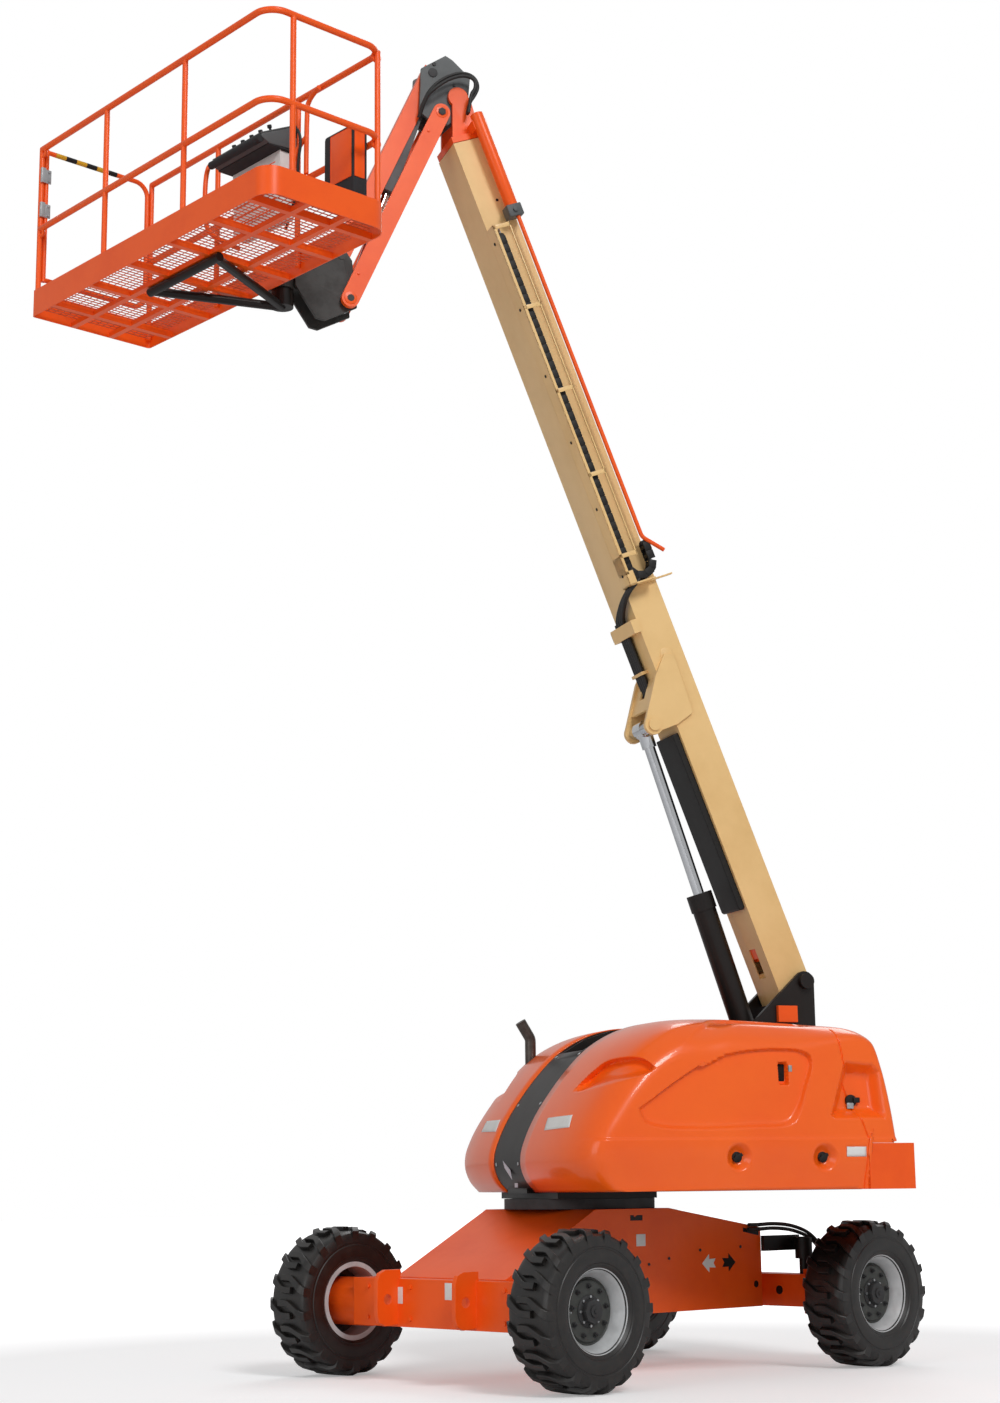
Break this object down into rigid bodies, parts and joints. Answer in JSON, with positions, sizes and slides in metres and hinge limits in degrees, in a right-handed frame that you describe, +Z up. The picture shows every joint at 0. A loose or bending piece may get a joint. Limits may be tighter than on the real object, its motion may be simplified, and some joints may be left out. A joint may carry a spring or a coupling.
{
  "type": "telescopic boom lift",
  "caption": "Wheeled lift machine with a slewing turntable, a raised telescopic boom, a levelled jib and a railed work platform that swings and has a gate.",
  "frame": {"origin": "on the ground under the slewing axis", "axes": "+X towards the fixed axle, +Y to the machine's left, +Z up"},
  "size_m": [4.6375, 3.6631, 8.0751],
  "materials": {
    "orange_paint": "gloss",
    "cream_paint": "satin",
    "black_paint": "satin",
    "grey_paint": "satin",
    "silver_paint": "satin",
    "tyre_rubber": "matte",
    "chrome_rod": "polished",
    "black_plastic": "matte",
    "cast_metal": "matte",
    "steel_mesh": "satin"
  },
  "bodies": {
    "chassis": {"chassis_frame": "orange_paint", "slew_bearing": "black_paint", "fixed_axle": "orange_paint", "steer_axle": "orange_paint", "lock_cylinder_left": "black_paint", "lock_cylinder_right": "black_paint"},
    "knuckle_left": {"knuckle_left": "black_paint"},
    "knuckle_right": {"knuckle_right": "black_paint"},
    "tie_rod": {"tie_rod": "black_paint"},
    "wheel_front_left": {"tyre_front_left": "tyre_rubber", "rim_front_left": "silver_paint"},
    "wheel_front_right": {"tyre_front_right": "tyre_rubber", "rim_front_right": "silver_paint"},
    "wheel_rear_left": {"tyre_rear_left": "tyre_rubber", "rim_rear_left": "silver_paint"},
    "wheel_rear_right": {"tyre_rear_right": "tyre_rubber", "rim_rear_right": "silver_paint"},
    "turntable": {"turntable_base": "black_paint", "counterweight": "orange_paint", "engine_block": "cast_metal", "hydraulic_tank": "black_paint", "riser_box": "orange_paint"},
    "hood_left": {"hood_left": "orange_paint"},
    "hood_right": {"hood_right": "orange_paint", "exhaust_pipe": "black_paint"},
    "boom": {"base_boom": "cream_paint", "boom_hose_cover": "black_plastic", "power_track_tray": "cream_paint", "power_track": "black_plastic"},
    "lift_barrel": {"lift_barrel": "black_paint"},
    "lift_rod": {"lift_rod": "chrome_rod"},
    "fly": {"fly_boom": "orange_paint", "push_tube": "orange_paint"},
    "jib_head": {"jib_head": "grey_paint"},
    "lower_arms": {"jib_lower_arm_left": "orange_paint", "jib_lower_arm_right": "orange_paint"},
    "upper_arm": {"jib_upper_arm": "orange_paint"},
    "jib_foot": {"jib_foot": "grey_paint"},
    "jib_barrel": {"jib_barrel": "grey_paint"},
    "jib_rod": {"jib_rod": "chrome_rod"},
    "platform": {"platform_support": "black_paint", "platform_floor": "orange_paint", "floor_mesh": "steel_mesh", "platform_rails": "orange_paint", "platform_console": "grey_paint", "platform_box": "grey_paint"},
    "gate": {"platform_gate": "orange_paint"}
  },
  "joints": [
    {"name": "wheel_front_left_spin", "type": "hinge", "parent": "chassis", "child": "wheel_front_left", "pos_m": [1, 0.985, 0.419], "axis": [0, 1, 0], "continuous": true},
    {"name": "wheel_front_right_spin", "type": "hinge", "parent": "chassis", "child": "wheel_front_right", "pos_m": [1, -0.985, 0.419], "axis": [0, 1, 0], "continuous": true},
    {"name": "steer_left", "type": "hinge", "parent": "chassis", "child": "knuckle_left", "pos_m": [-1.387, 0.74, 0.419], "axis": [0, 0, 1], "range_deg": [-35, 35]},
    {"name": "steer_right", "type": "hinge", "parent": "chassis", "child": "knuckle_right", "pos_m": [-1.387, -0.74, 0.419], "axis": [0, 0, 1], "range_deg": [-35, 35]},
    {"name": "tie_rod_pin", "type": "hinge", "parent": "knuckle_left", "child": "tie_rod", "pos_m": [-1.602, 0.72, 0.419], "axis": [0, 0, 1], "range_deg": [-35, 35]},
    {"name": "wheel_rear_left_spin", "type": "hinge", "parent": "knuckle_left", "child": "wheel_rear_left", "pos_m": [-1.387, 0.985, 0.419], "axis": [0, 1, 0], "continuous": true},
    {"name": "wheel_rear_right_spin", "type": "hinge", "parent": "knuckle_right", "child": "wheel_rear_right", "pos_m": [-1.387, -0.985, 0.419], "axis": [0, 1, 0], "continuous": true},
    {"name": "turntable_slew", "type": "hinge", "parent": "chassis", "child": "turntable", "pos_m": [0, 0, 0.955], "axis": [0, 0, 1], "continuous": true},
    {"name": "hood_left_hinge", "type": "hinge", "parent": "turntable", "child": "hood_left", "pos_m": [0.08198, 0.18242, 1.965], "axis": [0.9121, -0.4099, 0], "range_deg": [0, 50]},
    {"name": "hood_right_hinge", "type": "hinge", "parent": "turntable", "child": "hood_right", "pos_m": [-0.08198, -0.18242, 1.965], "axis": [-0.9121, 0.4099, 0], "range_deg": [0, 50]},
    {"name": "boom_lift", "type": "hinge", "parent": "turntable", "child": "boom", "pos_m": [-1.29521, 0.58209, 2.26], "axis": [-0.4099, -0.9121, 0], "range_deg": [-66, 4]},
    {"name": "lift_barrel_pin", "type": "hinge", "parent": "turntable", "child": "lift_barrel", "pos_m": [-1.21312, 0.5452, 1.3], "axis": [-0.4099, -0.9121, 0], "range_deg": [-47.72, 3.83]},
    {"name": "lift_rod_slide", "type": "slide", "parent": "lift_barrel", "child": "lift_rod", "axis": [0.2933, -0.1318, 0.9469], "range_m": [-0.758, 0.0553]},
    {"name": "telescope", "type": "slide", "parent": "boom", "child": "fly", "axis": [0.3313, -0.1489, 0.9317], "range_m": [0, 4.9]},
    {"name": "head_level", "type": "hinge", "parent": "fly", "child": "jib_head", "pos_m": [0.67156, -0.30181, 7.79052], "axis": [-0.4099, -0.9121, 0], "range_deg": [-5, 67]},
    {"name": "jib_lift", "type": "hinge", "parent": "jib_head", "child": "lower_arms", "pos_m": [0.77645, -0.34895, 7.66552], "axis": [-0.4099, -0.9121, 0], "range_deg": [0, 135]},
    {"name": "upper_arm_pin", "type": "hinge", "parent": "jib_head", "child": "upper_arm", "pos_m": [0.8175, -0.3674, 7.94552], "axis": [-0.4099, -0.9121, 0], "range_deg": [-1, 136]},
    {"name": "foot_level", "type": "hinge", "parent": "lower_arms", "child": "jib_foot", "pos_m": [1.31374, -0.59042, 6.3548], "axis": [-0.4099, -0.9121, 0], "range_deg": [-136, 1]},
    {"name": "jib_barrel_pin", "type": "hinge", "parent": "jib_head", "child": "jib_barrel", "pos_m": [0.8175, -0.3674, 7.94552], "axis": [-0.4099, -0.9121, 0], "range_deg": [-1, 132.58]},
    {"name": "jib_rod_slide", "type": "slide", "parent": "jib_barrel", "child": "jib_rod", "axis": [0.2952, -0.1327, -0.9462], "range_m": [-0.5285, 0.01]},
    {"name": "platform_rotate", "type": "hinge", "parent": "jib_foot", "child": "platform", "pos_m": [1.67374, -0.75221, 6.452], "axis": [0, 0, 1], "range_deg": [-112.7, 67.3]},
    {"name": "gate_hinge", "type": "hinge", "parent": "platform", "child": "gate", "pos_m": [2.59579, -1.97346, 6.945], "axis": [0, 0, -1], "range_deg": [0, 90]}
  ],
  "couplings": [
    {"joint": "steer_right", "follows": "steer_left", "ratio": 1},
    {"joint": "tie_rod_pin", "follows": "steer_left", "ratio": -1},
    {"joint": "lift_barrel_pin", "follows": "boom_lift", "ratio": 0.70782},
    {"joint": "lift_rod_slide", "follows": "boom_lift", "m_per_rad": 0.64934},
    {"joint": "head_level", "follows": "boom_lift", "ratio": -1},
    {"joint": "upper_arm_pin", "follows": "jib_lift", "ratio": 1},
    {"joint": "foot_level", "follows": "jib_lift", "ratio": -1},
    {"joint": "jib_barrel_pin", "follows": "jib_lift", "ratio": 0.97468},
    {"joint": "jib_rod_slide", "follows": "jib_lift", "m_per_rad": -0.22007}
  ]
}
